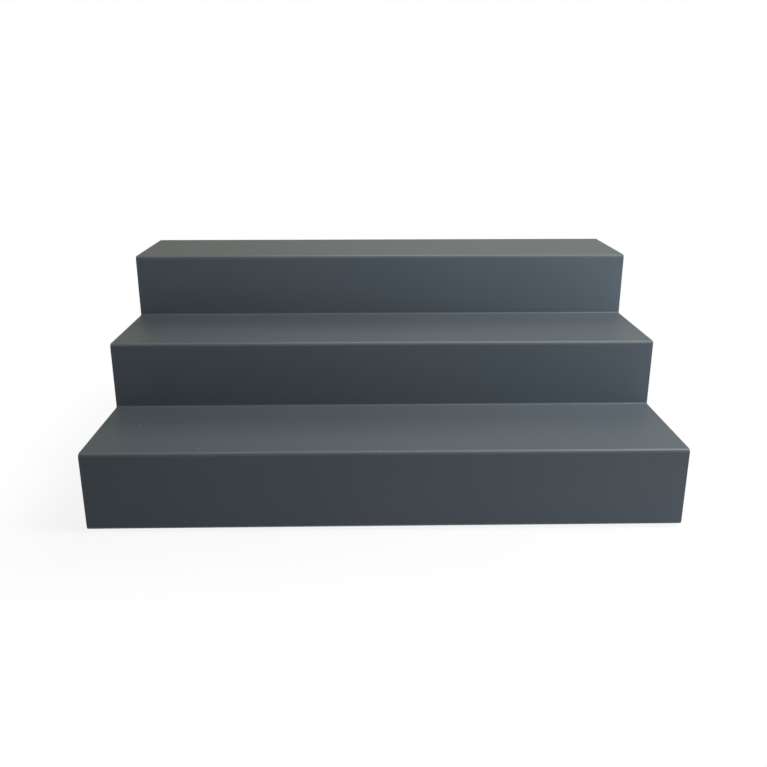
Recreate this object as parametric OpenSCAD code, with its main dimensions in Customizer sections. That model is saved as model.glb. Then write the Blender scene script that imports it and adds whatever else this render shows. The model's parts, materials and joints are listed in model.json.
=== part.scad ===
// Three-step display stand, folded from powder-coated sheet steel.
// X runs from left to right, Y from front to back and Z up. The origin is on the
// surface that the stand rests on, under the middle of its overall box.
// One sheet makes every tread and riser. A panel with folded tabs closes each end,
// held by nuts on weld studs, so that no fixing shows from the front. A back panel
// is screwed on, and the bottom stays open.

/* [Steps] */
// Number of steps
steps = 3; // [2:1:4]
// Width of the step sheet
stand_w = 305; // [200:5:500]
// Depth of a tread, from the face of one riser to the next
tread_d = 68; // [50:1:110]
// Height of the first riser, from its lower edge to the first tread
first_rise = 42; // [34:0.5:80]
// Height of each riser above the first
rise = 37.3; // [25:0.1:80]

/* [Sheet] */
// Thickness of the sheet steel
sheet_t = 1; // [0.8:0.1:1.5]
// Inside radius of every bend
bend_r = 1; // [0.6:0.1:1.6]
// Width of the hidden flanges and tabs, over their bends
flange_w = 15; // [14:0.5:20]
// Height of the flange down the back of the top tread
rear_flange_h = 14; // [13:0.5:20]
// Distance of the end panels in from the ends of the step sheet
end_inset = 0.4; // [0:0.1:1.5]
// Gap between a cut edge and the sheet that it faces
edge_gap = 0.3; // [0.1:0.1:0.8]
// Width of the notch that relieves the end of a bend
relief_w = 1.2; // [0.8:0.1:2]
// Distance from the end of a flat to the tab that lies on it
tab_end = 2; // [1:0.5:4]
// Distance from an outer face to the line of the fixings
fixing_in = 8.5; // [8:0.25:9.5]
// Diameter of the holes that the sheets hang by while they are coated
hang_hole_d = 4; // [3:0.5:6]

/* [Studs and nuts] */
// Thread diameter of the studs, nuts and screws
thread_d = 3; // [2.5:0.5:4]
// Radial gap in a thread and round a piece that is pressed in
snug_gap = 0.05; // [0.03:0.01:0.1]
// Radial gap round a fixing in its hole
hole_gap = 0.2; // [0.1:0.05:0.4]
// Length of a weld stud
stud_l = 8; // [6:0.5:12]
// Diameter of a weld stud's collar
collar_d = 4.5; // [4.5:0.25:6]
// Height of a weld stud's collar
collar_h = 0.7; // [0.5:0.1:0.8]
// Bevel at the tip of a weld stud
stud_bevel = 0.4; // [0.2:0.1:0.6]
// Distance from the end of a tab to its stud
stud_in = 12; // [8:0.5:16]
// Width of a nut across its flats
nut_af = 5.5; // [5.5:0.25:7]
// Height of a nut
nut_h = 3; // [2.5:0.25:4]
// Diameter of a nut's end face, inside the chamfer
nut_face_d = 5.2; // [5:0.1:6.5]
// Diameter of a nut's flange
nut_flange_d = 7.5; // [7:0.25:9]
// Height of the rim of a nut's flange
nut_rim_h = 0.5; // [0.3:0.1:0.6]

/* [Rivets] */
// Diameter of a rivet's shank
rivet_d = 3.2; // [2.4:0.2:4]
// Diameter of a rivet's head
rivet_head_d = 6; // [5.5:0.25:7]
// Height of a rivet's head
rivet_head_h = 0.9; // [0.7:0.1:1.1]
// Diameter of a rivet's formed tail
rivet_tail_d = 5; // [4.5:0.25:6]
// Height of a rivet's formed tail
rivet_tail_h = 2.2; // [1.5:0.1:3]
// Diameter of the hole in a rivet's head
rivet_bore_d = 1.6; // [1.2:0.1:1.9]

/* [Back screws] */
// Length of a screw under its head
screw_l = 6; // [5:0.5:8]
// Diameter of a screw's head
screw_head_d = 5.7; // [5.5:0.1:7]
// Height of a screw's head
screw_head_h = 1.65; // [1.4:0.05:2.2]
// Width of the hexagon socket across its flats
socket_af = 2; // [1.5:0.5:2.5]
// Depth of the hexagon socket
socket_depth = 1; // [0.7:0.1:1.1]
// Diameter of a clinch nut's collar
clinch_d = 6.3; // [6.3:0.1:7.5]
// Height of a clinch nut's collar
clinch_h = 1.5; // [1.2:0.1:2]
// Diameter of a clinch nut's spigot
spigot_d = 4.2; // [4.2:0.1:5.4]
// Distance from the top tread down to the upper screws
upper_screw_drop = 8; // [7.5:0.25:9]
// Height of the lower screws above the base flanges
lower_screw_rise = 14; // [11:0.5:20]

/* [Feet] */
// Diameter of a rubber foot
foot_d = 10; // [8:0.5:12]
// Height of a rubber foot
foot_h = 2.5; // [2.5:0.25:4]
// Radius at the lower edge of a foot
foot_edge_r = 1; // [0.3:0.1:1.5]
// Diameter of a foot's stem
stem_d = 4; // [3:0.25:5]
// Diameter of the barb on a foot's stem
barb_d = 5.2; // [5.2:0.1:6]
// Diameter at the tip of the barb
barb_tip_d = 2.8; // [2:0.1:3.5]
// Height of the barb on a foot's stem
barb_h = 3; // [2:0.25:4]
// Distance between a foot and the return beside it
foot_margin = 4; // [1:0.5:10]

/* [Hidden] */
$fn = 48;

// Turns of a folded strip, seen as it runs on
LEFT = 90;
RIGHT = -90;

// Slope of the chamfer on a nut's corners
chamfer_angle = 30;
// How far a cutter runs past the face that it leaves by
past = 1;
// Outside radius of every bend
corner_r = sheet_t + bend_r;

// Heights above the surface that the stand rests on
return_z = foot_h - sheet_t;
function tread_z(n) = return_z + first_rise + (n - 1) * rise;
function tab_z(n) = tread_z(n) - sheet_t;

// Depths behind the face of the first riser
stair_d = steps * tread_d;
back_face_y = stair_d - sheet_t;
end_rear_y = back_face_y - sheet_t;
function riser_y(n) = (n - 1) * tread_d;

// The middle of the overall depth, which ends at the heads of the upper screws
middle_y = (stair_d + screw_head_h) / 2;

// Where each tab and flange of an end panel starts and stops
function tab_start(n) = riser_y(n) + corner_r + tab_end;
function tab_stop(n) = n < steps ? riser_y(n + 1) - bend_r - tab_end : end_rear_y - corner_r - relief_w;
base_start = corner_r + tab_end;
base_stop = end_rear_y - corner_r - relief_w;
rear_start = foot_h + corner_r + relief_w;
rear_stop = tab_z(steps) - corner_r - relief_w;

// Places of the fixings, as [y, z]
stud_places = [
    for (n = [1:steps]) for (y = [tab_start(n) + stud_in, tab_stop(n) - stud_in]) [y, tab_z(n)]
];
upper_screw_z = tread_z(steps) - upper_screw_drop;
lower_screw_z = foot_h + lower_screw_rise;
front_foot_y = flange_w + foot_margin + foot_d / 2;
rear_foot_y = back_face_y - flange_w - foot_margin - foot_d / 2;
fixing_x = stand_w / 2 - end_inset - fixing_in;

powder_grey = "#484f52";
zinc = "#b9bcbd";
rubber_black = "#1d1d1e";

// Moves a piece from the first riser's face to the stand's own origin
module in_stand() translate([0, -middle_y, 0]) children();

// Places a piece at the left end, or at the right end as its mirror image. The end
// panel's outer face is at x = 0 and the inside of the stand at positive x.
module at_end(side) {
    mirror([side == RIGHT ? 1 : 0, 0, 0]) translate([-stand_w / 2 + end_inset, 0, 0]) children();
}

// Section of a right-angle bend: a quarter of a ring
module bend_section() {
    intersection() {
        difference() {
            circle(r = corner_r);
            circle(r = bend_r);
        }
        square(corner_r);
    }
}

// Section of a folded strip: its flats in order, with a turn between each two
module folded_section(flats, turns, i = 0) {
    square([flats[i], sheet_t]);
    if (i < len(turns)) {
        centre_v = turns[i] == LEFT ? corner_r : -bend_r;
        translate([flats[i], centre_v]) {
            rotate(turns[i] == LEFT ? RIGHT : 0) bend_section();
            rotate(turns[i]) translate([0, -centre_v]) folded_section(flats, turns, i + 1);
        }
    }
}

// Draws a side view in depth and height, and gives it a width along X
module across(width) rotate([90, 0, 90]) linear_extrude(width) children();

module round_hole(d, through) translate([0, 0, -past]) cylinder(d = d, h = through + 2 * past);

module hexagon(af, h) cylinder(d = af / cos(30), h = h, $fn = 6);

// A shallow dome that stands on z = 0
module dome(d, h) {
    ball_r = (d * d / 4 + h * h) / (2 * h);
    intersection() {
        translate([0, 0, h - ball_r]) sphere(r = ball_r);
        cylinder(d = d, h = h);
    }
}

// The stair, folded from the return under its front to the flange down its back.
// An outside corner takes the outer bend radius from the flats beside it, and an
// inside corner the inner one.
module step_sheet() {
    flats = concat(
        [flange_w - corner_r, first_rise - 2 * corner_r],
        [for (n = [1:steps - 1]) each [tread_d - corner_r - bend_r, rise - bend_r - corner_r]],
        [tread_d - 2 * corner_r, rear_flange_h - corner_r]
    );
    turns = concat([RIGHT, RIGHT], [for (n = [1:steps - 1]) each [LEFT, RIGHT]], [RIGHT]);
    color(powder_grey) in_stand() difference() {
        translate([-stand_w / 2, 0, 0]) across(stand_w)
            translate([flange_w, foot_h]) rotate(180) folded_section(flats, turns);
        for (x = [-fixing_x, fixing_x]) {
            translate([x, fixing_in, return_z]) round_hole(rivet_d + 2 * hole_gap, sheet_t);
            translate([x, stair_d, upper_screw_z]) rotate([90, 0, 0])
                round_hole(thread_d + 2 * hole_gap, sheet_t);
        }
        translate([0, fixing_in, return_z]) round_hole(hang_hole_d, sheet_t);
    }
}

// Outline of an end panel, a cut edge's gap inside the stair. Its outer corners are
// cut off to clear the bends that they sit in.
module end_outline() {
    low = foot_h + edge_gap;
    rear = end_rear_y - edge_gap;
    function front(n) = riser_y(n) + sheet_t + edge_gap;
    function top(n) = tab_z(n) - edge_gap;
    polygon(concat(
        [[front(1) + bend_r, low], [front(1), low + bend_r]],
        [for (n = [1:steps]) each [
            [front(n), top(n) - bend_r], [front(n) + bend_r, top(n)],
            [n < steps ? front(n + 1) : rear, top(n)]
        ]],
        [[rear, low]]
    ));
}

// Section across a flange: the panel's outer face is at x = 0, the flange's seat at y = 0
module flange_section() {
    translate([corner_r, -corner_r]) rotate(LEFT) bend_section();
    translate([corner_r, -sheet_t]) square([flange_w - corner_r, sheet_t]);
}

// A flange along Y that turns in at height z, upwards or downwards
module level_flange(start, stop, z, up = true) {
    translate([0, stop, z]) mirror([0, 0, up ? 0 : 1]) rotate([90, 0, 0])
        linear_extrude(stop - start) flange_section();
}

// Room for a level flange's bend, with a relief notch at each of its ends
module level_bend_room(start, stop, low, high) {
    translate([-past, start - relief_w, low])
        cube([sheet_t + 2 * past, stop - start + 2 * relief_w, high - low]);
}

module end_panel() {
    module holes_in_flanges() {
        for (place = stud_places) translate([fixing_in, place[0], place[1] - sheet_t])
            round_hole(collar_d + 2 * hole_gap, sheet_t);
        translate([fixing_in, fixing_in, foot_h]) round_hole(rivet_d + 2 * hole_gap, sheet_t);
        for (y = [front_foot_y, rear_foot_y])
            translate([fixing_in, y, foot_h]) round_hole(stem_d + 2 * hole_gap, sheet_t);
        translate([fixing_in, stair_d / 2, foot_h]) round_hole(hang_hole_d, sheet_t);
        for (z = [lower_screw_z, upper_screw_z]) translate([fixing_in, end_rear_y, z])
            rotate([90, 0, 0]) round_hole(spigot_d + 2 * snug_gap, sheet_t);
    }
    difference() {
        union() {
            difference() {
                across(sheet_t) end_outline();
                for (n = [1:steps])
                    level_bend_room(tab_start(n), tab_stop(n), tab_z(n) - corner_r, tab_z(n) + past);
                level_bend_room(base_start, base_stop, foot_h - past, foot_h + corner_r);
                translate([-past, end_rear_y - corner_r, foot_h - past])
                    cube([sheet_t + 2 * past, corner_r + past, tread_z(steps)]);
            }
            for (n = [1:steps]) level_flange(tab_start(n), tab_stop(n), tab_z(n));
            level_flange(base_start, base_stop, foot_h, up = false);
            translate([0, end_rear_y, rear_start])
                linear_extrude(rear_stop - rear_start) flange_section();
        }
        holes_in_flanges();
    }
}

module left_end_panel() color(powder_grey) in_stand() at_end(LEFT) end_panel();

module right_end_panel() color(powder_grey) in_stand() at_end(RIGHT) end_panel();

// The back closes the box behind the end panels and in front of the top's flange
module back_panel() {
    width = stand_w - 2 * end_inset;
    height = tread_z(steps) - corner_r - edge_gap - return_z;
    color(powder_grey) in_stand() difference() {
        translate([-width / 2, 0, 0]) across(width)
            translate([end_rear_y, return_z + height]) rotate(RIGHT)
                folded_section([height - corner_r, flange_w - corner_r], [RIGHT]);
        for (x = [-fixing_x, fixing_x], z = [lower_screw_z, upper_screw_z])
            translate([x, back_face_y, z]) rotate([90, 0, 0])
                round_hole(thread_d + 2 * hole_gap, sheet_t);
        translate([0, back_face_y - fixing_in, return_z]) round_hole(hang_hole_d, sheet_t);
    }
}

// A stud that hangs from the tread it is welded to, with a bevelled tip
module weld_stud() {
    tip_d = thread_d - 2 * stud_bevel;
    mirror([0, 0, 1]) {
        cylinder(d = collar_d, h = collar_h);
        cylinder(d = thread_d, h = stud_l - stud_bevel);
        translate([0, 0, stud_l - stud_bevel]) cylinder(d1 = thread_d, d2 = tip_d, h = stud_bevel);
    }
}

module weld_studs() {
    for (place = stud_places) translate([fixing_in, place[0], place[1]]) weld_stud();
}

module left_weld_studs() color(zinc) in_stand() at_end(LEFT) weld_studs();

module right_weld_studs() color(zinc) in_stand() at_end(RIGHT) weld_studs();

// A nut that bears upwards on the tab, with its flange at the top. A cone takes the
// points off the lower end of the hexagon.
module flange_nut() {
    difference() {
        mirror([0, 0, 1]) {
            cylinder(d = nut_flange_d, h = nut_rim_h);
            translate([0, 0, nut_rim_h]) cylinder(d1 = nut_flange_d, d2 = nut_af, h = nut_rim_h);
            intersection() {
                hexagon(nut_af, nut_h);
                cylinder(d1 = nut_face_d + 2 * nut_h / tan(chamfer_angle), d2 = nut_face_d, h = nut_h);
            }
        }
        translate([0, 0, -nut_h]) round_hole(thread_d + 2 * snug_gap, nut_h);
    }
}

module flange_nuts() {
    for (place = stud_places)
        translate([fixing_in, place[0], place[1] - sheet_t]) flange_nut();
}

module left_flange_nuts() color(zinc) in_stand() at_end(LEFT) flange_nuts();

module right_flange_nuts() color(zinc) in_stand() at_end(RIGHT) flange_nuts();

// A set blind rivet: a domed head below two sheets and a formed tail above them
module blind_rivet() {
    grip = 2 * sheet_t;
    difference() {
        union() {
            mirror([0, 0, 1]) dome(rivet_head_d, rivet_head_h);
            cylinder(d = rivet_d, h = grip);
            translate([0, 0, grip]) dome(rivet_tail_d, rivet_tail_h);
        }
        translate([0, 0, -rivet_head_h]) round_hole(rivet_bore_d, rivet_head_h);
    }
}

module front_rivets() {
    color(zinc) in_stand()
        for (x = [-fixing_x, fixing_x]) translate([x, fixing_in, return_z]) blind_rivet();
}

// A clinch nut, pressed into the back flange from inside the stand
module clinch_nut() {
    rotate([90, 0, 0]) difference() {
        union() {
            cylinder(d = spigot_d, h = sheet_t);
            translate([0, 0, sheet_t]) cylinder(d = clinch_d, h = clinch_h);
        }
        round_hole(thread_d + 2 * snug_gap, sheet_t + clinch_h);
    }
}

module clinch_nuts() {
    for (z = [lower_screw_z, upper_screw_z])
        translate([fixing_in, end_rear_y, z]) clinch_nut();
}

module left_clinch_nuts() color(zinc) in_stand() at_end(LEFT) clinch_nuts();

module right_clinch_nuts() color(zinc) in_stand() at_end(RIGHT) clinch_nuts();

// A button head screw that points forwards from the face its head bears on
module button_screw() {
    rotate([90, 0, 0]) {
        difference() {
            mirror([0, 0, 1]) dome(screw_head_d, screw_head_h);
            translate([0, 0, -screw_head_h - past]) hexagon(socket_af, socket_depth + past);
        }
        cylinder(d = thread_d, h = screw_l);
    }
}

module back_screws() {
    color(zinc) in_stand() for (x = [-fixing_x, fixing_x]) {
        translate([x, stair_d, upper_screw_z]) button_screw();
        translate([x, back_face_y, lower_screw_z]) button_screw();
    }
}

// A rubber foot: a low pad, a stem through the base flange and a barb above it
module foot() {
    pad_r = foot_d / 2;
    barb_z = foot_h + sheet_t + snug_gap;
    tip_z = barb_z + barb_h;
    rotate_extrude() {
        difference() {
            square([pad_r, foot_h]);
            translate([pad_r - foot_edge_r, foot_edge_r]) difference() {
                translate([0, -foot_edge_r - past]) square(foot_edge_r + past);
                circle(r = foot_edge_r);
            }
        }
        square([stem_d / 2, barb_z]);
        polygon([[0, barb_z], [barb_d / 2, barb_z], [barb_tip_d / 2, tip_z], [0, tip_z]]);
    }
}

module foot_at(side, y) {
    color(rubber_black) in_stand() at_end(side) translate([fixing_in, y, 0]) foot();
}

module front_left_foot() foot_at(LEFT, front_foot_y);

module front_right_foot() foot_at(RIGHT, front_foot_y);

module rear_left_foot() foot_at(LEFT, rear_foot_y);

module rear_right_foot() foot_at(RIGHT, rear_foot_y);

step_sheet();
left_end_panel();
right_end_panel();
back_panel();
left_weld_studs();
right_weld_studs();
left_flange_nuts();
right_flange_nuts();
front_rivets();
left_clinch_nuts();
right_clinch_nuts();
back_screws();
front_left_foot();
front_right_foot();
rear_left_foot();
rear_right_foot();
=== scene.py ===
# %% [markdown]
# # A three-step display stand
#
# The object is a low stair in satin slate grey, on which small collectibles stand in
# rows. The real one is 1 mm sheet steel: cut flat, folded on a press brake, powder
# coated and put together with fixings that don't show from the front. The frame that
# is loaded here holds that construction as plain solids. This file dresses it. The
# four sheets are folded again as smooth meshes with softened edges, the fixings and
# feet are turned as on a lathe, and every finish is built from shader nodes.

# %% Load the frame
import json
import math

import bmesh
import bpy
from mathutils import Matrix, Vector


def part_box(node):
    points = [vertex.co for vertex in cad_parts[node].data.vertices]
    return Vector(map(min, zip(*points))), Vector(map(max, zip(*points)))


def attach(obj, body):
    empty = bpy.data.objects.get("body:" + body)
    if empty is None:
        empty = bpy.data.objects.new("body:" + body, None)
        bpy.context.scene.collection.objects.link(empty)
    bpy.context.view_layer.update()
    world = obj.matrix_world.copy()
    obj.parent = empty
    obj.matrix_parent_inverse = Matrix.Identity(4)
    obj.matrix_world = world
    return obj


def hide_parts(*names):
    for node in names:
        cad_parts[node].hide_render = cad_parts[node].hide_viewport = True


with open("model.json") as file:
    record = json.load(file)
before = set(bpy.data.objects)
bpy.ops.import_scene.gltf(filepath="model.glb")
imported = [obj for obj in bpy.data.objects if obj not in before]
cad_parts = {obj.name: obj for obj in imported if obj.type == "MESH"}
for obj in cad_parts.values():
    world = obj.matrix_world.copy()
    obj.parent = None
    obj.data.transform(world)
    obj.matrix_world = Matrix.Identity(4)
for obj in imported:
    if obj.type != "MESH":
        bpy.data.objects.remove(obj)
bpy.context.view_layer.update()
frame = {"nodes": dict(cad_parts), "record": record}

bpy.ops.object.select_all(action="DESELECT")

# %% [markdown]
# ## Sizes
#
# Blender works in metres and a sheet-metal shop in millimetres, so lengths are written
# as so many times MM. Whatever the frame can tell is asked of it: the width, the depth
# and the treads' heights. The shop's own values, such as the thickness of the sheet
# and the width of a flange, stand where they are first needed.

# %% Sizes
MM = 0.001

stair_low, stair_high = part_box("step_sheet")
tread_heights = [
    mount["pos_m"][2]
    for mount in frame["record"]["mounts"]
    if mount["name"].endswith("tread")
]
steps = len(tread_heights)
tread_depth = (stair_high.y - stair_low.y) / steps

UP, DOWN = Vector((0, 0, 1)), Vector((0, 0, -1))
BACK, FRONT = Vector((0, 1, 0)), Vector((0, -1, 0))
RIGHT, LEFT = Vector((1, 0, 0)), Vector((-1, 0, 0))
print(f"{steps} treads, each {tread_depth / MM:.1f} mm deep")
print("their heights:", [round(height / MM, 1) for height in tread_heights], "mm")

# %% [markdown]
# ## Camera
#
# The view comes first, so that every piece can be judged in it. The place was worked
# out from the corners of the stair in the photograph: about 0.38 m in front of the
# lowest riser and 0.2 m up, close enough for the stair to narrow towards the back. A
# lens of 39 mm on a 36 mm sensor gives the photograph's frame without any shift.

# %% Camera
CAMERA_AT = Vector((-9.1, -483.2, 206.6)) * MM
LOOKS_DOWN = math.radians(18.49)
TURNS_RIGHT = math.radians(1.17)
LENS_MM = 38.95
SENSOR_MM = 36
NEAREST = 10 * MM

bpy.ops.object.camera_add(
    location=CAMERA_AT,
    rotation=(math.pi / 2 - LOOKS_DOWN, 0, -TURNS_RIGHT),
)
camera = bpy.context.object
camera.data.lens = LENS_MM
camera.data.sensor_width = SENSOR_MM
camera.data.clip_start = NEAREST
bpy.context.scene.camera = camera
print(f"camera {(stair_low.y - CAMERA_AT.y) / MM:.0f} mm in front of the stand")

# %% [markdown]
# ## Picking parts of a mesh
#
# By hand one clicks on the edge or face to work on. A script has no mouse, so a
# part is picked by its place: a test is given the middle of each edge or face, and
# those that pass are selected. Rounding makes two equal places differ in their last
# digits, so places count as equal when they are within a thousandth of a millimetre.

# %% Picking
TINY = 0.001 * MM


def near(a, b):
    return abs(a - b) < TINY


def take(piece):
    """Selects one piece alone and makes it the active one."""
    bpy.ops.object.select_all(action="DESELECT")
    piece.select_set(True)
    bpy.context.view_layer.objects.active = piece


def edit(piece):
    take(piece)
    bpy.ops.object.mode_set(mode="EDIT")


def leave():
    bpy.ops.object.mode_set(mode="OBJECT")


def pick(kind, test):
    """Selects the VERT, EDGE or FACE parts whose middle passes the test, and counts them."""
    bpy.ops.mesh.select_mode(type=kind)
    bpy.ops.mesh.select_all(action="DESELECT")
    shape = bmesh.from_edit_mesh(bpy.context.object.data)
    parts = {"VERT": shape.verts, "EDGE": shape.edges, "FACE": shape.faces}[kind]
    picked = 0
    for part in parts:
        if kind == "VERT":
            middle = part.co
        else:
            middle = sum((v.co for v in part.verts), Vector()) / len(part.verts)
        if test(middle):
            part.select_set(True)
            picked += 1
    shape.select_flush(True)
    bmesh.update_edit_mesh(bpy.context.object.data)
    return picked


print(f"places within {TINY / MM} mm of each other count as equal")

# %% [markdown]
# ## Folding sheet
#
# A press brake leaves a quarter of a cylinder between two flats. A sharp corner with a
# bevel would come close, but folding is both simpler and truer: the free edge of a
# flat is spun a quarter turn about the bend's centre, and then drawn on straight as
# the next flat. Only the outside face of the sheet is drawn. Its thickness follows at
# the end, so an outside corner is spun at the outer radius and an inside corner at the
# inner one. Spin turns clockwise about its axis.

# %% Folding
SHEET = 1 * MM
INSIDE_R = 1 * MM
OUTSIDE_R = INSIDE_R + SHEET
BEND_FACES = 8


def start_sheet(name, low, high):
    """Adds a flat face between two corners that agree along one axis, open in edit mode."""
    size = high - low
    thin = min(range(3), key=lambda axis: abs(size[axis]))
    turns = [(0, math.pi / 2, 0), (math.pi / 2, 0, 0), (0, 0, 0)]
    bpy.ops.mesh.primitive_plane_add(size=1, rotation=turns[thin])
    bpy.ops.object.transform_apply(location=False, rotation=True, scale=False)
    piece = bpy.context.object
    piece.name = name
    piece.location = (low + high) / 2
    piece.scale = [1 if axis == thin else size[axis] for axis in range(3)]
    bpy.ops.object.transform_apply()
    edit(piece)
    return piece


def fold(edge_at, heading, towards, radius):
    """Bends the selected edge from one direction to another, and returns where it ends."""
    bpy.ops.mesh.spin(
        steps=BEND_FACES,
        angle=math.pi / 2,
        center=edge_at + towards * radius,
        axis=towards.cross(heading),
    )
    return edge_at + (heading + towards) * radius


def run_on(edge_at, heading, length):
    """Draws the selected edge on as a flat, and returns where it ends."""
    bpy.ops.mesh.extrude_edges_move(TRANSFORM_OT_translate={"value": heading * length})
    return edge_at + heading * length


def flange(edge_at, heading, towards, width):
    """Adds a fold and the flat behind it, `width` wide over the bend."""
    edge_at = fold(edge_at, heading, towards, OUTSIDE_R)
    run_on(edge_at, towards, width - OUTSIDE_R)


print(f"a bend has {BEND_FACES} faces and is {OUTSIDE_R / MM:.0f} mm in radius outside")

# %% [markdown]
# ## Holes
#
# A boolean would cut a hole in one step and leave long thin faces across the flat. The
# way of a careful modeller is to frame the hole with four straight cuts, take the
# square in the middle away, put a circle there and bridge the two loops. The flat stays
# flat and its shading clean. The cuts leave out the faces at the far end of a wide
# flat, which gain nothing from them.

# %% Holes
HOLE_SIDES = 32
FRAME_PER_HOLE = 0.7
CUTS_REACH = 1.2 * stair_high.x


def drill(at, through, diameter):
    """Opens a round hole at a point of a flat that faces along `through`."""
    across = [axis for axis in (RIGHT, BACK, UP) if near(axis.dot(through), 0)]
    reach = diameter * FRAME_PER_HOLE

    def on_the_flat(p):
        return near((p - at).dot(through), 0) and (p - at).length < CUTS_REACH

    def in_the_frame(p):
        return on_the_flat(p) and all(abs((p - at).dot(axis)) < reach + TINY for axis in across)

    for axis in across:
        for side in (-1, 1):
            pick("FACE", on_the_flat)
            bpy.ops.mesh.bisect(plane_co=at + axis * side * reach, plane_no=axis, threshold=TINY)
    pick("FACE", in_the_frame)
    bpy.ops.mesh.delete(type="FACE")
    bpy.ops.mesh.primitive_circle_add(
        vertices=HOLE_SIDES,
        radius=diameter / 2,
        location=at,
        rotation=UP.rotation_difference(through).to_euler(),
    )
    pick("EDGE", in_the_frame)
    bpy.ops.mesh.bridge_edge_loops()


print(f"a hole has {HOLE_SIDES} sides")

# %% [markdown]
# ## Thickness and soft edges
#
# The sheet gets its millimetre of steel from a Solidify modifier, which keeps the
# bends at an even thickness. No cut edge of a coated sheet is sharp: it is deburred,
# and the powder flows round it. A narrow Bevel does that. Weighted normals then keep
# the large flats shaded flat right up to the bends. At the end, every edge of a piece
# should have two faces, or the shell isn't closed, so those that don't are counted.

# %% Thickness and soft edges
SOFT_EDGE = 0.3 * MM
SOFT_EDGE_FACES = 3
SHARP_ANGLE = math.radians(40)


def modify(piece, kind, **settings):
    """Adds a modifier with these settings and applies it."""
    bpy.ops.object.modifier_add(type=kind)
    modifier = piece.modifiers[-1]
    for name, value in settings.items():
        setattr(modifier, name, value)
    bpy.ops.object.modifier_apply(modifier=modifier.name)


def report(piece):
    """Prints how many faces a piece has, and how many edges don't have two of them."""
    shape = bmesh.new()
    shape.from_mesh(piece.data)
    open_edges = sum(len(edge.link_faces) != 2 for edge in shape.edges)
    print(f"{piece.name}: {len(shape.faces)} faces, {open_edges} open edges")
    shape.free()


def face_outwards(outside):
    """Merges doubles and turns the sheet so that its largest face looks outside."""
    bpy.ops.mesh.select_all(action="SELECT")
    bpy.ops.mesh.remove_doubles(threshold=TINY)
    bpy.ops.mesh.normals_make_consistent(inside=False)
    shape = bmesh.from_edit_mesh(bpy.context.object.data)
    largest = max(shape.faces, key=lambda face: face.calc_area())
    if largest.normal.dot(outside) < 0:
        bpy.ops.mesh.flip_normals()


def finish_sheet(piece, outside):
    """Gives a folded face its thickness and soft edges."""
    face_outwards(outside)
    leave()
    modify(piece, "SOLIDIFY", thickness=SHEET, offset=-1, use_even_offset=True)
    modify(
        piece,
        "BEVEL",
        width=SOFT_EDGE,
        segments=SOFT_EDGE_FACES,
        limit_method="ANGLE",
        angle_limit=SHARP_ANGLE,
    )
    bpy.ops.object.shade_smooth_by_angle(angle=SHARP_ANGLE)
    modify(piece, "WEIGHTED_NORMAL", keep_sharp=True)
    report(piece)


print(f"cut edges are rounded by {SOFT_EDGE / MM} mm")

# %% [markdown]
# ## Where the fixings are
#
# The holes have to meet the studs, screws and feet of the frame. A node may hold
# several of them, so a copy of its mesh is merged, split into loose parts and
# measured, and then thrown away.

# %% Where the fixings are
def solids_of(node):
    """The middles of a node's separate solids, from the lowest and foremost on."""
    source = frame["nodes"][node]
    copy = source.copy()
    copy.data = source.data.copy()
    bpy.context.scene.collection.objects.link(copy)
    edit(copy)
    bpy.ops.mesh.select_all(action="SELECT")
    bpy.ops.mesh.remove_doubles(threshold=TINY)
    bpy.ops.mesh.separate(type="LOOSE")
    leave()
    middles = []
    for part in bpy.context.selected_objects:
        corners = [Vector(corner) for corner in part.bound_box]
        middles.append((corners[0] + corners[6]) / 2)
    bpy.ops.object.delete()
    return sorted(middles, key=lambda p: (round(p.z, 4), round(p.y, 4), p.x))


stud_places = {side: solids_of(f"{side}_weld_studs") for side in ("left", "right")}
rivet_places = solids_of("front_rivets")
screw_places = solids_of("back_screws")
lower_screws, upper_screws, left_screws = screw_places[:2], screw_places[2:], screw_places[::2]
foot_places = [solids_of(f"{end}_left_foot")[0] for end in ("front", "rear")]
print(f"{len(stud_places['left'])} studs at each end, {len(rivet_places)} rivets")
print(f"{len(lower_screws)} lower and {len(upper_screws)} upper screws")

# %% [markdown]
# ## The step sheet
#
# One sheet makes every tread and riser, with a return under the front and a flange
# down the back. It is drawn the way it is folded, from the return's free edge to the
# flange's. The return carries the rivets' holes and a hole that it hangs by in the
# coating line, and the rear flange the upper screws' holes.

# %% The step sheet
FLANGE = 15 * MM
REAR_FLANGE = 14 * MM
RIVET_HOLE = 3.6 * MM
SCREW_HOLE = 3.4 * MM
HANG_HOLE = 4 * MM

return_z = stair_low.z
fixing_in = rivet_places[0].y - stair_low.y

step_sheet = start_sheet(
    "coated_step_sheet",
    Vector((stair_low.x, stair_low.y + OUTSIDE_R, return_z)),
    Vector((stair_high.x, stair_low.y + FLANGE, return_z)),
)
edge_at = Vector((0, stair_low.y + OUTSIDE_R, return_z))
pick("EDGE", lambda p: near(p.y, edge_at.y))

heading = FRONT
floor_below = return_z
for n, height in enumerate(tread_heights):
    foot_r = OUTSIDE_R if n == 0 else INSIDE_R
    back_r = INSIDE_R if n < steps - 1 else OUTSIDE_R
    edge_at = fold(edge_at, heading, UP, foot_r)
    edge_at = run_on(edge_at, UP, height - floor_below - foot_r - OUTSIDE_R)
    edge_at = fold(edge_at, UP, BACK, OUTSIDE_R)
    edge_at = run_on(edge_at, BACK, tread_depth - OUTSIDE_R - back_r)
    heading = BACK
    floor_below = height
flange(edge_at, BACK, DOWN, REAR_FLANGE)

for place in rivet_places:
    drill(Vector((place.x, place.y, return_z)), DOWN, RIVET_HOLE)
drill(Vector((0, stair_low.y + fixing_in, return_z)), DOWN, HANG_HOLE)
for place in upper_screws:
    drill(Vector((place.x, stair_high.y, place.z)), BACK, SCREW_HOLE)
finish_sheet(step_sheet, UP)

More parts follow.
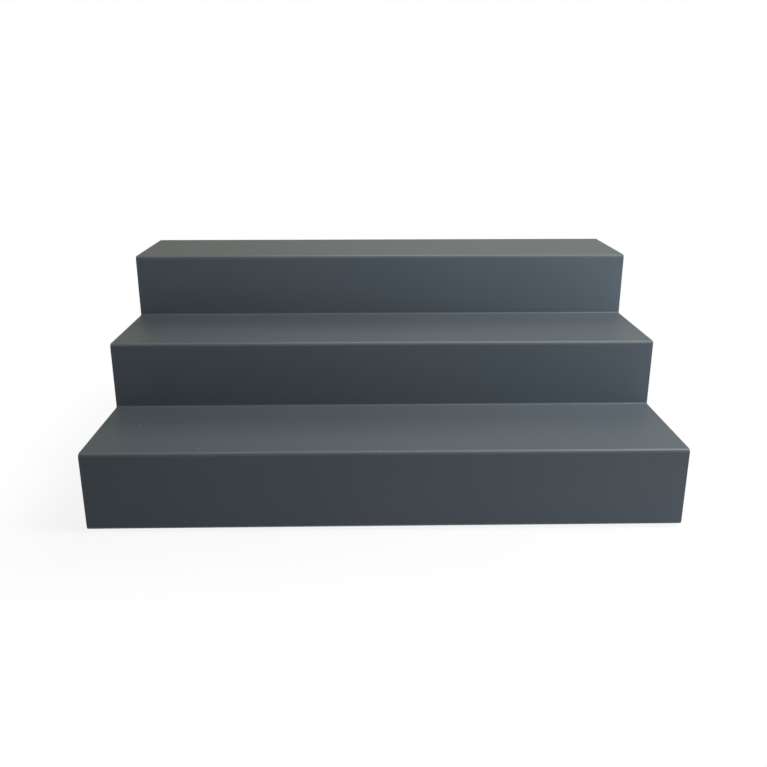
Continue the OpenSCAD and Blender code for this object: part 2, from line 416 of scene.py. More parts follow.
# %% [markdown]
# ## The end panels
#
# Each end is closed by a stair-shaped panel that sits just inside the fold. It starts
# as a rectangle. Straight cuts along the risers and treads let the corner above the
# stair be deleted. Tabs under the treads, a flange along the base and one up the back
# are then folded in. A press brake needs a small notch at each end of a fold, or the
# sheet tears, so the metal beside each fold is cut back first.

# %% The end panels
END_INSET = 0.4 * MM
EDGE_GAP = 0.3 * MM

panel_x = stair_low.x + END_INSET
base_z = return_z + SHEET
rear_y = stair_high.y - 2 * SHEET
riser_ys = [stair_low.y + n * tread_depth for n in range(steps)]
tab_heights = [height - SHEET for height in tread_heights]


def cut(point, across):
    """Cuts the whole sheet along a plane."""
    bpy.ops.mesh.select_all(action="SELECT")
    bpy.ops.mesh.bisect(plane_co=point, plane_no=across, threshold=TINY)


def above_the_stair(p):
    """Whether a point of the panel lies above the tread that it belongs to."""
    step = max([n for n in range(steps) if p.y > riser_ys[n] + SHEET + EDGE_GAP] or [0])
    return p.z > tab_heights[step] - EDGE_GAP


def corners_to_clip(p):
    """The panel's outer corners, which sit in the step sheet's bends."""
    fronts = [near(p.y, y + SHEET + EDGE_GAP) for y in riser_ys]
    tops = [near(p.z, z - EDGE_GAP) for z in tab_heights]
    at_foot = fronts[0] and near(p.z, base_z + EDGE_GAP)
    return at_foot or any(front and top for front, top in zip(fronts, tops))


print(f"the panels stand {END_INSET / MM:.1f} mm inside the ends of the step sheet")

# %% Outline of the left end panel
left_panel = start_sheet(
    "coated_left_end_panel",
    Vector((panel_x, riser_ys[0] + SHEET + EDGE_GAP, base_z + EDGE_GAP)),
    Vector((panel_x, rear_y - EDGE_GAP, tab_heights[-1] - EDGE_GAP)),
)
for riser_y in riser_ys[1:]:
    cut(Vector((0, riser_y + SHEET + EDGE_GAP, 0)), BACK)
for height in tab_heights[:-1]:
    cut(Vector((0, 0, height - EDGE_GAP)), UP)
pick("FACE", above_the_stair)
bpy.ops.mesh.delete(type="FACE")
clipped = pick("VERT", corners_to_clip)
bpy.ops.mesh.bevel(offset=INSIDE_R, segments=1, affect="VERTICES")
print(f"{clipped} corners clipped by {INSIDE_R / MM:.0f} mm")

# %% Folds of the left end panel
RELIEF = 1.2 * MM
TAB_END = 2 * MM


def tab_span(n):
    """Where the tab under tread n starts and stops, from front to back."""
    start = riser_ys[n] + OUTSIDE_R + TAB_END
    if n < steps - 1:
        return start, riser_ys[n + 1] - INSIDE_R - TAB_END
    return start, rear_y - OUTSIDE_R - RELIEF


def fold_in(along, span, fold_at, outwards, notch=RELIEF):
    """Clears the metal past a fold line between `span`, and folds a flange in there.

    `along` is the fold's own direction, and `outwards` points from the panel past the
    fold. A notch is left at each end of the flange.
    """
    start, stop = span

    def past_the_fold(p):
        beside = start - notch - TINY < p.dot(along) < stop + notch + TINY
        beyond = fold_at < p.dot(outwards) < fold_at + 2 * OUTSIDE_R
        return beside and beyond and near(p.x, panel_x)

    def on_the_fold(p):
        between = start < p.dot(along) < stop
        return between and near(p.dot(outwards), fold_at) and near(p.x, panel_x)

    for place in (start - notch, start, stop, stop + notch):
        cut(along * place, along)
    cut(outwards * fold_at, outwards)
    pick("FACE", past_the_fold)
    bpy.ops.mesh.delete(type="FACE")
    pick("EDGE", on_the_fold)
    edge_at = Vector((panel_x, 0, 0)) + along * (start + stop) / 2 + outwards * fold_at
    flange(edge_at, outwards, RIGHT, FLANGE)


for n, height in enumerate(tab_heights):
    fold_in(BACK, tab_span(n), height - OUTSIDE_R, UP)
fold_in(
    BACK,
    (stair_low.y + OUTSIDE_R + TAB_END, rear_y - OUTSIDE_R - RELIEF),
    -(base_z + OUTSIDE_R),
    DOWN,
)
fold_in(
    UP,
    (base_z + OUTSIDE_R + RELIEF, tab_heights[-1] - OUTSIDE_R - RELIEF),
    rear_y - OUTSIDE_R,
    BACK,
    notch=RELIEF + OUTSIDE_R,
)
print(f"{steps + 2} flanges folded in")

# %% Holes of the left end panel
STUD_HOLE = 4.9 * MM
FOOT_HOLE = 4.4 * MM
CLINCH_HOLE = 4.3 * MM


def tab_at(place):
    """The height of the tab that a stud goes through."""
    return min(tab_heights, key=lambda height: abs(height - place.z))


for place in stud_places["left"]:
    drill(Vector((place.x, place.y, tab_at(place))), UP, STUD_HOLE)
fixing_x = stud_places["left"][0].x
drill(Vector((fixing_x, rivet_places[0].y, base_z)), DOWN, RIVET_HOLE)
for place in foot_places:
    drill(Vector((fixing_x, place.y, base_z)), DOWN, FOOT_HOLE)
drill(Vector((fixing_x, (stair_low.y + stair_high.y) / 2, base_z)), DOWN, HANG_HOLE)
for place in left_screws:
    drill(Vector((fixing_x, rear_y, place.z)), BACK, CLINCH_HOLE)
finish_sheet(left_panel, LEFT)

# %% The right end panel, as a mirror image
bpy.ops.object.duplicate()
right_panel = bpy.context.object
right_panel.name = "coated_right_end_panel"
right_panel.scale.x = -1
bpy.ops.object.transform_apply()
edit(right_panel)
bpy.ops.mesh.select_all(action="SELECT")
bpy.ops.mesh.normals_make_consistent(inside=False)
leave()
modify(right_panel, "WEIGHTED_NORMAL", keep_sharp=True)
report(right_panel)

# %% [markdown]
# ## The back panel
#
# A flat panel closes the back. It stands in front of the step sheet's rear flange and
# behind the end panels, and its foot is folded forwards under their base flanges.

# %% The back panel
back_y = stair_high.y - SHEET
back_top = tread_heights[-1] - OUTSIDE_R - EDGE_GAP

back_panel = start_sheet(
    "coated_back_panel",
    Vector((panel_x, back_y, return_z + OUTSIDE_R)),
    Vector((-panel_x, back_y, back_top)),
)
edge_at = Vector((0, back_y, return_z + OUTSIDE_R))
pick("EDGE", lambda p: near(p.z, edge_at.z))
flange(edge_at, DOWN, FRONT, FLANGE)
for place in screw_places:
    drill(Vector((place.x, back_y, place.z)), BACK, SCREW_HOLE)
drill(Vector((0, back_y - fixing_in, return_z)), DOWN, HANG_HOLE)
finish_sheet(back_panel, BACK)

# %% [markdown]
# ## Turned pieces
#
# Studs, nuts, rivets, screws and feet are all round about one axis, as if they came off
# a lathe. Half of the outline is drawn as a line, from a single point that is extruded
# again and again, and the line is spun a full turn. Points on the axis become one when
# doubles are merged, which closes the poles.

# %% Turned pieces
LATHE_SIDES = 32


def in_mm(*pairs):
    """Turns pairs of radius and height in millimetres into an outline in metres."""
    return [(radius * MM, height * MM) for radius, height in pairs]


def draw_line(name, outline):
    """Draws a line through pairs of radius and height, open in edit mode."""
    bpy.ops.mesh.primitive_plane_add(size=MM)
    piece = bpy.context.object
    piece.name = name
    edit(piece)
    bpy.ops.mesh.select_mode(type="VERT")
    bpy.ops.mesh.select_all(action="SELECT")
    bpy.ops.mesh.merge(type="CENTER")
    radius, height = outline[0]
    bpy.ops.transform.translate(value=(radius, 0, height))
    for next_radius, next_height in outline[1:]:
        step = (next_radius - radius, 0, next_height - height)
        bpy.ops.mesh.extrude_vertices_move(TRANSFORM_OT_translate={"value": step})
        radius, height = next_radius, next_height
    return piece


def close_up():
    """Merges doubles, turns the faces outwards and leaves edit mode."""
    bpy.ops.mesh.select_all(action="SELECT")
    bpy.ops.mesh.remove_doubles(threshold=TINY)
    bpy.ops.mesh.normals_make_consistent(inside=False)
    leave()


def turn_piece(name, outline):
    """Spins an outline, which starts and ends on the axis or meets itself, into a solid."""
    piece = draw_line(name, outline)
    bpy.ops.mesh.select_all(action="SELECT")
    bpy.ops.mesh.spin(steps=LATHE_SIDES, angle=2 * math.pi, center=(0, 0, 0), axis=UP)
    close_up()
    return piece


print(f"a turned piece has {LATHE_SIDES} sides")

# %% [markdown]
# ## Threads
#
# A thread could be painted on with stripes in a Bump, but its outline would stay
# straight. A real one is turned with a rise: the Screw modifier winds one groove round
# the axis, and a straight cut closes each end. Then only what the rod has in common
# with a blunt cone is kept, which bevels its top, so that a nut would start easily.

# %% Threads
THREAD = 3 * MM
THREAD_SIDES = 16
PITCH = 0.5 * MM
THREAD_DEPTH = 0.61 * PITCH
SPARE_TURNS = 2


def combine(piece, tool, operation):
    """Cuts or joins with another piece, which is used up."""
    take(piece)
    modify(piece, "BOOLEAN", object=tool, operation=operation, solver="EXACT")
    bpy.data.objects.remove(tool)


def threaded_rod(name, low, high):
    """A rod with a real helical thread, cut off straight at both ends and bevelled at the top."""
    crest = THREAD / 2
    root = crest - THREAD_DEPTH
    groove = [(crest, 0), (crest, PITCH / 8), (root, PITCH * 7 / 16)]
    groove += [(root, PITCH * 11 / 16), (crest, PITCH)]
    rod = draw_line(name, [(radius, z + low - PITCH) for radius, z in groove])
    leave()
    modify(
        rod,
        "SCREW",
        angle=2 * math.pi,
        screw_offset=PITCH,
        iterations=math.ceil((high - low) / PITCH) + SPARE_TURNS,
        steps=THREAD_SIDES,
        render_steps=THREAD_SIDES,
        use_merge_vertices=True,
        merge_threshold=TINY,
    )
    edit(rod)
    for end, outwards in ((low, DOWN), (high, UP)):
        bpy.ops.mesh.select_all(action="SELECT")
        bpy.ops.mesh.bisect(
            plane_co=UP * end,
            plane_no=outwards,
            clear_outer=True,
            use_fill=True,
            threshold=TINY / 10,
        )
    close_up()
    bevel = THREAD / 8
    cone = [(0, low - MM), (THREAD, low - MM), (THREAD, high - bevel - crest)]
    cone += [(crest - bevel, high), (0, high)]
    combine(rod, turn_piece("bevelled end", cone), "INTERSECT")
    return rod


print(f"the thread is {THREAD / MM:.0f} mm wide and rises {PITCH / MM} mm each turn")

# %% [markdown]
# ## Weld studs
#
# A stud is welded to the underside of a tread by a short arc, and a collar of metal
# squeezes out round its foot. Rod and collar are made apart and joined, so that the
# thread can run right down to the collar, as on the real one.

# %% Weld stud
STUD_LENGTH = 8 * MM
SUNK_IN_COLLAR = 0.4 * MM
TURNED_SHARP_ANGLE = math.radians(35)


def polish(piece):
    """Shades a turned piece smooth but for its edges, and reports it."""
    take(piece)
    bpy.ops.object.shade_smooth_by_angle(angle=TURNED_SHARP_ANGLE)
    report(piece)


stud = threaded_rod("weld stud", SUNK_IN_COLLAR, STUD_LENGTH)
collar = turn_piece("collar", in_mm((0, 0), (2.25, 0), (2.25, 0.6), (2.15, 0.7), (0, 0.7)))
combine(stud, collar, "UNION")
polish(stud)

# %% [markdown]
# ## Flange nuts
#
# A flange nut has its washer built in. It starts as a hexagonal bar. Bevelling six
# corners one by one would be fiddly, so only what the bar has in common with a tapered
# round one is kept, which chamfers them all at once. Then the washer is joined on and
# the bore taken out. The bore stays plain, because the stud hides its thread.

# %% Flange nut
NUT_ACROSS_FLATS = 5.5 * MM
NUT_HEIGHT = 3 * MM
SUNK_IN_FLANGE = 0.3 * MM


def hexagon(across_flats, low, high):
    bpy.ops.mesh.primitive_cylinder_add(
        vertices=6,
        radius=across_flats / 2 / math.cos(math.pi / 6),
        depth=high - low,
        location=(0, 0, (low + high) / 2),
    )
    bpy.ops.object.transform_apply()
    return bpy.context.object


chamfered = in_mm((0, 0), (4, 0), (4, 2.25), (2.6, 3), (0, 3))
washer = in_mm((0, 0), (3.65, 0), (3.75, 0.1), (3.75, 0.4), (3.65, 0.52), (2.75, 0.98), (0, 0.98))
bore = in_mm((0, -1), (1.55, -1), (1.55, 2.7), (2.05, 3.2), (0, 3.2))

nut = hexagon(NUT_ACROSS_FLATS, SUNK_IN_FLANGE, NUT_HEIGHT)
nut.name = "flange nut"
combine(nut, turn_piece("chamfered bar", chamfered), "INTERSECT")
combine(nut, turn_piece("washer", washer), "UNION")
combine(nut, turn_piece("bore", bore), "DIFFERENCE")
polish(nut)

# %% [markdown]
# ## Clinch nuts
#
# A clinch nut is pressed into its hole until the sheet grips its shank. It is round all
# over, so one outline that ends where it started gives shank, body and bore in a single
# turn, with no boolean.

# %% Clinch nut
shank_and_body = in_mm((1.55, 0), (2.05, 0), (2.1, 0.05), (2.1, 1), (3.05, 1), (3.15, 1.1))
rear_and_bore = in_mm((3.15, 2.35), (3.0, 2.5), (1.85, 2.5), (1.55, 2.2), (1.55, 0))

clinch_nut = turn_piece("clinch nut", shank_and_body + rear_and_bore)
polish(clinch_nut)

# %% [markdown]
# ## Blind rivets
#
# A blind rivet is set from one side. A pin draws its tail into a bulb and breaks off in
# the head, where the stump stays in a small hollow. Head and tail are shallow domes.
# A squashed sphere would come close, but an arc worked out from a dome's width and
# height meets the flat at the true angle.

# %% Blind rivet
RIVET_HEAD_WIDTH, RIVET_HEAD = 6 * MM, 0.9 * MM
RIVET_TAIL_WIDTH, RIVET_TAIL = 5 * MM, 2.2 * MM
RIVET_R = 1.6 * MM
PIN_HOLLOW_R = 0.8 * MM
TAIL_TIP_R = 0.01 * MM
DOME_PARTS = 8


def arc(centre, radius, start, stop, parts=6):
    """Points along an arc, from angle to angle in degrees, 0 pointing away from the axis."""
    angles = [math.radians(start + (stop - start) * i / parts) for i in range(parts + 1)]
    x, z = centre
    return [(x + radius * math.cos(angle), z + radius * math.sin(angle)) for angle in angles]


def dome(width, height, rim):
    """The outline of a shallow dome, from its edge up to the radius `rim`."""
    ball = (width**2 / 4 + height**2) / (2 * height)
    edge = math.degrees(math.asin((ball - height) / ball))
    top = math.degrees(math.acos(rim / ball))
    return arc((0, height - ball), ball, edge, top, DOME_PARTS)


head = [(r, -z) for r, z in dome(RIVET_HEAD_WIDTH, RIVET_HEAD, PIN_HOLLOW_R)]
tail = [(r, z + 2 * SHEET) for r, z in dome(RIVET_TAIL_WIDTH, RIVET_TAIL, TAIL_TIP_R)]
rivet = turn_piece(
    "blind rivet",
    in_mm((0, 0.3), (0.6, 0.15), (0.8, 0.3))
    + head[::-1]
    + [(RIVET_R, 0), (RIVET_R, 2 * SHEET)]
    + tail
    + [(0, RIVET_TAIL + 2 * SHEET)],
)
polish(rivet)

# %% [markdown]
# ## Button head screws
#
# Four M3 screws hold the back panel. Their low round heads are domes like the rivet's,
# each with a hexagonal socket. Drawing the socket's walls into the dome by hand would
# be slow, so a small hexagonal bar takes it out. The shank is a threaded rod, turned
# over so that it points into the stand.

# %% Button head screw
HEAD_WIDTH, SCREW_HEAD = 5.7 * MM, 1.63 * MM
HEAD_TOP_R, UNDER_HEAD_R = 0.02 * MM, 2.75 * MM
SOCKET_ACROSS_FLATS = 2 * MM
SOCKET_DEPTH = 1 * MM
SCREW_LENGTH = 6 * MM
SUNK_IN_HEAD = 0.3 * MM

button = dome(HEAD_WIDTH, SCREW_HEAD, HEAD_TOP_R)
screw = turn_piece("button head screw", [(0, 0), (UNDER_HEAD_R, 0)] + button + [(0, SCREW_HEAD)])
socket = hexagon(SOCKET_ACROSS_FLATS, SCREW_HEAD - SOCKET_DEPTH, 2 * SCREW_HEAD)
combine(screw, socket, "DIFFERENCE")
shank = threaded_rod("shank", -SUNK_IN_HEAD, SCREW_LENGTH)
shank.rotation_euler = (math.pi, 0, 0)
take(shank)
bpy.ops.object.transform_apply()
combine(screw, shank, "UNION")
polish(screw)

# %% [markdown]
# ## Rubber feet
#
# A foot is moulded in one piece: a low disc with rounded edges, a neck where the sheet
# sits, and a barb that is squeezed through the hole and holds. One outline covers it
# all, with arcs for the edges, which a Bevel would round at one width only.

# %% Rubber foot
FOOT_R, FOOT_HEIGHT = 5 * MM, 2.5 * MM
FOOT_ROUND, RIM_ROUND, BARB_ROUND = 1 * MM, 0.3 * MM, 0.2 * MM

disc = arc((FOOT_R - FOOT_ROUND, FOOT_ROUND), FOOT_ROUND, -90, 0)
rim = arc((FOOT_R - RIM_ROUND, FOOT_HEIGHT - RIM_ROUND), RIM_ROUND, 0, 90, 3)
neck = in_mm((2, 2.5), (2, 3.55), (2.5, 3.55))
barb = arc((2.4 * MM, 3.75 * MM), BARB_ROUND, -60, 20, 4)
tip = in_mm((1.5, 6.4), (1.3, 6.55), (0, 6.55))

foot = turn_piece("rubber foot", [(0, 0)] + disc + rim + neck + barb + tip)
polish(foot)

# %% [markdown]
# ## Putting the fixings in place
#
# Each fixing was made once, at the origin and pointing up. Now it is copied to every
# place that its node has, turned the way it points there, and the copies are joined
# into one object, so that a node of the frame is answered by one piece.

# %% Putting the fixings in place
def set_out(name, model, places, turn=0):
    """Copies a model to these places, turned about X by some degrees, and joins the copies."""
    copies = []
    for place in places:
        copy = model.copy()
        copy.data = model.data.copy()
        bpy.context.scene.collection.objects.link(copy)
        copy.location = place
        copy.rotation_euler = (math.radians(turn), 0, 0)
        copies.append(copy)
    bpy.ops.object.select_all(action="DESELECT")
    for copy in copies:
        copy.select_set(True)
    bpy.context.view_layer.objects.active = copies[0]
    bpy.ops.object.transform_apply()
    if len(copies) > 1:
        bpy.ops.object.join()
    copies[0].name = name
    return copies[0]


fixings = {}
for side in ("left", "right"):
    roots = [Vector((place.x, place.y, tab_at(place))) for place in stud_places[side]]
    seats = [root - UP * SHEET for root in roots]
    clinched = [Vector((p.x, rear_y, p.z)) for p in solids_of(f"{side}_clinch_nuts")]
    fixings[f"{side}_weld_studs"] = set_out(f"threaded_{side}_studs", stud, roots, 180)
    fixings[f"{side}_flange_nuts"] = set_out(f"chamfered_{side}_nuts", nut, seats, 180)
    fixings[f"{side}_clinch_nuts"] = set_out(
        f"turned_{side}_clinch_nuts", clinch_nut, clinched, 90
    )
through = [Vector((place.x, place.y, return_z)) for place in rivet_places]
fixings["front_rivets"] = set_out("set_front_rivets", rivet, through)
under_heads = [Vector((place.x, back_y, place.z)) for place in lower_screws]
under_heads += [Vector((place.x, stair_high.y, place.z)) for place in upper_screws]
fixings["back_screws"] = set_out("threaded_back_screws", screw, under_heads, -90)
for end in ("front", "rear"):
    for side in ("left", "right"):
        place = solids_of(f"{end}_{side}_foot")[0]
        fixings[f"{end}_{side}_foot"] = set_out(
            f"rounded_{end}_{side}_foot", foot, [Vector((place.x, place.y, 0))]
        )
for model in (stud, nut, clinch_nut, rivet, screw, foot):
    bpy.data.objects.remove(model)
print(f"{len(fixings)} nodes of fixings and feet")

# %% [markdown]
# ## Shader arithmetic
#
# A finish is a formula over the surface, and a formula is easier to read as one than as
# a web of nodes. The class below wraps a node's output, so that adding or multiplying
# two of them adds the Math node that does it.

# %% Shader arithmetic
class Value:
    """One output of a shader node, on which arithmetic works."""

    def __init__(self, recipe, socket):
        self.recipe = recipe
        self.socket = socket

    def other(self, output):
        """Another output of the same node."""
        return Value(self.recipe, self.socket.node.outputs[output])

    def __add__(self, other):
        return self.recipe.math("ADD", self, other)

    def __radd__(self, other):
        return self.recipe.math("ADD", other, self)

    def __rsub__(self, other):
        return self.recipe.math("SUBTRACT", other, self)

    def __mul__(self, other):
        return self.recipe.math("MULTIPLY", self, other)

    def __rmul__(self, other):
        return self.recipe.math("MULTIPLY", other, self)

    def __pow__(self, other):
        return self.recipe.math("POWER", self, other)

    def __lt__(self, other):
        return self.recipe.math("LESS_THAN", self, other)

    def __gt__(self, other):
        return self.recipe.math("GREATER_THAN", self, other)


print("a formula on values adds its Math nodes")

# %% [markdown]
# ## Recipes
#
# A recipe is a whole web of nodes. A material, the world and the floor each have one.
# One method adds every kind of node, so that a new kind needs no code of its own.

# %% Recipes
class Recipe:
    """A node tree, to which one method adds every node."""

    def __init__(self, tree):
        self.tree = tree

    def math(self, operation, first, second):
        return self.node("ShaderNodeMath", {"operation": operation}, {0: first, 1: second})

    def node(self, kind, settings=None, inputs=None, output=0):
        """Adds a node: its settings are set first, then its sockets get values or links."""
        made = self.tree.nodes.new(kind)
        for name, value in (settings or {}).items():
            setattr(made, name, value)
        for name, value in (inputs or {}).items():
            if isinstance(value, Value):
                self.tree.links.new(value.socket, made.inputs[name])
            else:
                made.inputs[name].default_value = value
        return Value(self, made.outputs[output])

    def feed(self, node_name, socket, value):
        self.tree.links.new(value.socket, self.tree.nodes[node_name].inputs[socket])

    def mix(self, share, first, second):
        """A colour between two colours."""
        inputs = {0: share, 6: first, 7: second}
        return self.node("ShaderNodeMix", {"data_type": "RGBA"}, inputs, output=2)

    def white_rays(self):
        """1 for the rays that should see the white background, 0 for those that light things."""
        camera_ray = self.node("ShaderNodeLightPath", output="Is Camera Ray")
        glossy_ray = camera_ray.other("Is Glossy Ray")
        return camera_ray + glossy_ray + camera_ray.other("Is Transmission Ray")


print("a recipe adds nodes, links them and mixes colours")

# %% Finishes
class Finish(Recipe):
    """The recipe of a material, with formulas over its surface."""

    def __init__(self, name):
        self.material = bpy.data.materials.new(name)
        self.material.use_nodes = True
        super().__init__(self.material.node_tree)
        self.shader = self.tree.nodes["Principled BSDF"]

    def place(self):
        """The point of the surface in metres, in the piece's own frame."""
        return self.node("ShaderNodeTexCoord", output="Object")

    def noise(self, grain):
        """Cloudy noise from 0 to 1 with lumps about `grain` metres across."""
        return self.node("ShaderNodeTexNoise", inputs={"Vector": self.place(), "Scale": 1 / grain})

    def bump(self, height):
        """A surface raised by `height` metres."""
        return self.node("ShaderNodeBump", inputs={"Height": height, "Distance": 1.0})

    def set(self, **constants):
        """Sets constants on the shader's own sockets, named in words with underscores."""
        for name, value in constants.items():
            self.shader.inputs[name.replace("_", " ")].default_value = value

    def paint(self, **formulas):
        """Feeds formulas to the shader's sockets, named in the same way."""
        for name, value in formulas.items():
            self.feed("Principled BSDF", name.replace("_", " "), value)


print("a finish is a recipe with a surface to paint")

# %% [markdown]
# ## Powder coat
#
# Powder coat is a plastic skin about 0.07 mm thick. It has a soft sheen, so a tread
# mirrors the riser behind it in a blur. Its surface ripples a few thousandths of a
# millimetre, like orange peel, and its colour is even to a few hundredths. A stand in
# use catches a few pale specks of dust on its treads. The specks lie on a grid of
# random points seen from above, and only where the surface faces up.

# %% Colour and dust of the powder coat
SLATE = (0.063, 0.075, 0.081, 1)
SLATE_LIGHT = (0.068, 0.081, 0.088, 1)
CLOUD_GRAIN = 60 * MM
DUST = (0.30, 0.31, 0.31, 1)
DUST_SPACING = 22 * MM
DUST_RADIUS = 0.35 * MM
DUST_COVERS = 0.8
FACES_UP = 0.9

coat = Finish("satin slate powder coat")
speck_distance = coat.node(
    "ShaderNodeTexVoronoi",
    {"voronoi_dimensions": "2D"},
    {"Vector": coat.place(), "Scale": 1 / DUST_SPACING},
    "Distance",
)
speck_chance = coat.node("ShaderNodeSeparateXYZ", inputs={0: speck_distance.other("Color")})
normal = coat.node("ShaderNodeNewGeometry", output="Normal")
tilt = coat.node("ShaderNodeSeparateXYZ", inputs={0: normal}, output="Z")
in_a_speck = speck_distance < speck_chance * (DUST_RADIUS / DUST_SPACING)
dust = in_a_speck * (tilt > FACES_UP)
slate = coat.mix(coat.noise(CLOUD_GRAIN), SLATE, SLATE_LIGHT)
coat.paint(Base_Color=coat.mix(dust * DUST_COVERS, slate, DUST))
print(f"specks up to {2 * DUST_RADIUS / MM:.1f} mm wide, one in {DUST_SPACING / MM:.0f} mm")

# %% [markdown]
# ## Shining bends
#
# The bends shine more than the flats, because the powder flows together in the inner
# corners and hands rub the outer ones smooth. There a clear coat lies over the slate,
# and its weight follows the tilt of the surface: none on a tread or a riser, and most
# of it where the tread begins to turn down. A second material on the bends' faces
# would show a hard border, and this way has none.

# %% Sheen, ripples and bends of the powder coat
ROUGHNESS = 0.44
ROUGHER_BY = 0.06
ROUGHER_GRAIN = 15 * MM
SHEEN = 0.02
PEEL_HEIGHT = 0.004 * MM
PEEL_GRAIN = 1.1 * MM
BEND_SHARE = 19
BEND_SHARPNESS = 8
BEND_ROUGHNESS = 0.56

coat.paint(
    Roughness=ROUGHNESS + ROUGHER_BY * coat.noise(ROUGHER_GRAIN),
    Coat_Weight=BEND_SHARE * tilt**BEND_SHARPNESS * (1 - tilt) * (tilt > 0),
    Normal=coat.bump(PEEL_HEIGHT * coat.noise(PEEL_GRAIN)),
)
coat.set(Specular_IOR_Level=SHEEN, Coat_Roughness=BEND_ROUGHNESS)
print(f"ripples {PEEL_HEIGHT / MM} mm high and {PEEL_GRAIN / MM:.1f} mm apart")

# %% [markdown]
# ## Zinc and rubber
#
# The fixings are bright zinc plate: metal with a cool and a faintly yellow cast in
# patches, and a roughness that varies from grain to grain. The feet are black rubber,
# matte and slightly pitted. Pictures of metal and rubber would repeat and blur at this
# size. Noise does neither.

# %% Zinc
ZINC_COOL = (0.58, 0.60, 0.63, 1)
ZINC_YELLOW = (0.62, 0.60, 0.55, 1)
ZINC_PATCH = 2 * MM
ZINC_ROUGHNESS, ZINC_ROUGHER_BY = 0.25, 0.15
ZINC_GRAIN = 0.4 * MM
ZINC_PITS = 0.15 * MM
ZINC_PIT_DEPTH = 0.001 * MM

zinc = Finish("bright zinc plate")
zinc.paint(
    Base_Color=zinc.mix(zinc.noise(ZINC_PATCH), ZINC_COOL, ZINC_YELLOW),
    Roughness=ZINC_ROUGHNESS + ZINC_ROUGHER_BY * zinc.noise(ZINC_GRAIN),
    Normal=zinc.bump(ZINC_PIT_DEPTH * zinc.noise(ZINC_PITS)),
)
zinc.set(Metallic=1.0)
print(f"zinc in patches of {ZINC_PATCH / MM:.0f} mm")

# %% Rubber
RUBBER = (0.014, 0.014, 0.015, 1)
RUBBER_WORN = (0.024, 0.024, 0.025, 1)
RUBBER_PATCH = 1.5 * MM
RUBBER_ROUGHNESS, RUBBER_ROUGHER_BY = 0.62, 0.2
RUBBER_GRAIN = 0.5 * MM
RUBBER_PITS = 0.3 * MM
RUBBER_PIT_DEPTH = 0.02 * MM

rubber = Finish("black rubber")
rubber.paint(
    Base_Color=rubber.mix(rubber.noise(RUBBER_PATCH), RUBBER, RUBBER_WORN),
    Roughness=RUBBER_ROUGHNESS + RUBBER_ROUGHER_BY * rubber.noise(RUBBER_GRAIN),
    Normal=rubber.bump(RUBBER_PIT_DEPTH * rubber.noise(RUBBER_PITS)),
)
rubber.set(Specular_IOR_Level=0.35)
print(f"rubber with pits {RUBBER_PIT_DEPTH / MM} mm deep")

# %% [markdown]
# ## Giving each piece its finish
#
# Every piece now takes the place of its node in the frame. It rides on the one body
# that the stand has, and its slot says which finish it wears. The node that it hides
# wears the same.

# %% Giving each piece its finish
finishes = {"powder_coat": coat, "zinc": zinc, "rubber": rubber}
slots = {part["node"]: part["material_slot"] for part in frame["record"]["subparts"]}
pieces = {
    "step_sheet": step_sheet,
    "left_end_panel": left_panel,
    "right_end_panel": right_panel,
    "back_panel": back_panel,
    **fixings,
}


def dress(piece, finish):
    piece.data.materials.clear()
    piece.data.materials.append(finish.material)


for node, piece in pieces.items():
    dress(frame["nodes"][node], finishes[slots[node]])
    dress(piece, finishes[slots[node]])
    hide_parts(node)
    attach(piece, "root")
print(f"{len(pieces)} pieces in {len(finishes)} finishes")

# %% [markdown]
# ## Floor
#
# The photograph shows the stand on pure white. The floor is pale, and gives the camera
# and the reflections a white of strength 1, in which only a faint shadow round the
# stand is left. A bright lamp would whiten the floor as well, but it would bleach the
# stand with it. Seen from below, the floor is like glass: it lets the camera through,
# and a lamp's light too, so that the hollow underneath can be seen.

# %% Floor
FLOOR = (0.65, 0.61, 0.61, 1)
FLOOR_SIZE = 40
SHADOW_SHARE = 0.12
SHADOW_REACH = 90 * MM
ANY_HEIGHT = 1

bpy.ops.mesh.primitive_plane_add(size=FLOOR_SIZE)
floor = bpy.context.object
floor.name = "floor"
pale = Finish("pale floor")
pale.set(Base_Color=FLOOR, Roughness=0.9, Specular_IOR_Level=0.1)


def vector_math(operation, *vectors, output=0):
    inputs = dict(enumerate(vectors))
    return pale.node("ShaderNodeVectorMath", {"operation": operation}, inputs, output)


half_stand = (stair_high.x, -stair_low.y, ANY_HEIGHT)
past_sides = vector_math("SUBTRACT", vector_math("ABSOLUTE", pale.place()), half_stand)
outside = vector_math("MAXIMUM", past_sides, (0, 0, 0))
near_stand = pale.node(
    "ShaderNodeMapRange",
    {"interpolation_type": "SMOOTHSTEP"},
    {
        "Value": vector_math("LENGTH", outside, output="Value"),
        "From Min": 0,
        "From Max": SHADOW_REACH,
        "To Min": 1,
        "To Max": 0,
    },
)
print(f"the floor shows a shadow up to {SHADOW_REACH / MM:.0f} mm from the stand")

# %% What the floor shows and lets through
lit = Value(pale, pale.shader.outputs[0])
white = pale.node("ShaderNodeEmission", inputs={"Color": (1, 1, 1, 1), "Strength": 1.0})
whiteness = pale.white_rays() * (1 - SHADOW_SHARE * near_stand)
above = pale.node("ShaderNodeMixShader", inputs={0: whiteness, 1: lit, 2: white})
clear = pale.node("ShaderNodeBsdfTransparent")
from_below = pale.node("ShaderNodeNewGeometry", output="Backfacing")
to_lamp = pale.node("ShaderNodeLightPath", output="Is Shadow Ray")
see_through = pale.math("MAXIMUM", from_below, to_lamp)
surface = pale.node("ShaderNodeMixShader", inputs={0: see_through, 1: above, 2: clear})
pale.feed("Material Output", "Surface", surface)
dress(floor, pale)
print(f"beside the stand it shows {SHADOW_SHARE:.0%} of the real light and shade")

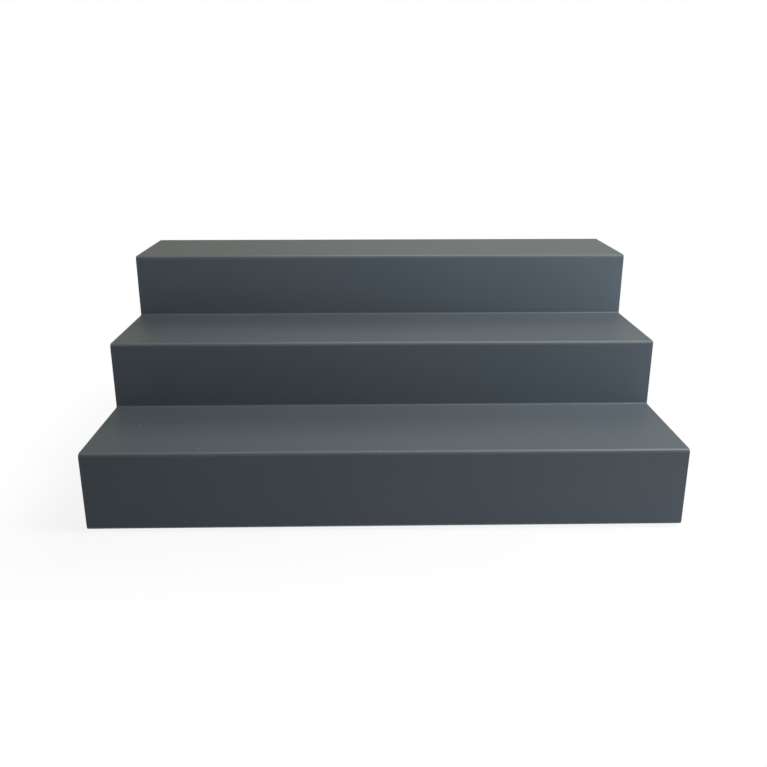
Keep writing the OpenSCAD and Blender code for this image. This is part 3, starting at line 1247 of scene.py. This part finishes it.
# %% [markdown]
# ## Light
#
# The photograph is lit softly from the right and from above. The world is white for
# the camera and warm white for reflections, but lights the stand only with a weak even
# fill. The rest comes from soft lamps: a low cool one on the right, one overhead, and
# two weaker warm ones behind. The two low lamps stay out of reflections, because at a
# glancing angle they would burn white into the treads. One more lamp shines through
# the floor into the hollow.

# %% World
FILL = 0.085
WHITE = (1, 1, 1, 1)
WARM_WHITE = (1.0, 0.93, 0.7, 1)

bpy.context.scene.world = bpy.data.worlds.new("pale room")
bpy.context.scene.world.use_nodes = True
room = Recipe(bpy.context.scene.world.node_tree)
mirrored = room.node("ShaderNodeLightPath", output="Is Glossy Ray")
room.feed("Background", "Color", room.mix(mirrored, WHITE, WARM_WHITE))
room.feed("Background", "Strength", FILL + (1 - FILL) * room.white_rays())
bpy.context.scene.view_settings.view_transform = "Standard"
print(f"an even fill of {FILL}")

# %% Lamps
COOL = (0.88, 1.0, 1.17)
EVEN = (1.01, 1.0, 1.04)
WARM = (1.15, 1.0, 0.86)
MIDDLE = Vector((0, 0, 60 * MM))


def soft_lamp(name, at, size, watts, tint, reflected=True):
    """Adds a square soft box that faces the middle of the stand."""
    turn = (Vector(at) - MIDDLE).to_track_quat("Z", "Y").to_euler()
    bpy.ops.object.light_add(type="AREA", location=at, rotation=turn)
    lamp = bpy.context.object
    lamp.name = name
    lamp.data.shape = "SQUARE"
    lamp.data.size = size
    lamp.data.energy = watts
    lamp.data.color = tint
    lamp.visible_glossy = reflected
    print(f"{name}: {watts} W")


soft_lamp("low lamp on the right", (0.8, -0.2, 0.12), 0.2, 10.1, COOL, reflected=False)
soft_lamp("lamp overhead", (0.4, -0.15, 0.6), 0.3, 6.5, EVEN)
soft_lamp("lamp behind", (0.05, 0.62, 0.73), 0.35, 3.1, WARM)
soft_lamp("low lamp behind on the left", (-0.7, 0.7, 0.12), 0.4, 1.2, WARM, reflected=False)
soft_lamp("lamp under the floor", (0.0, 0.0, -0.5), 0.3, 4.5, EVEN)
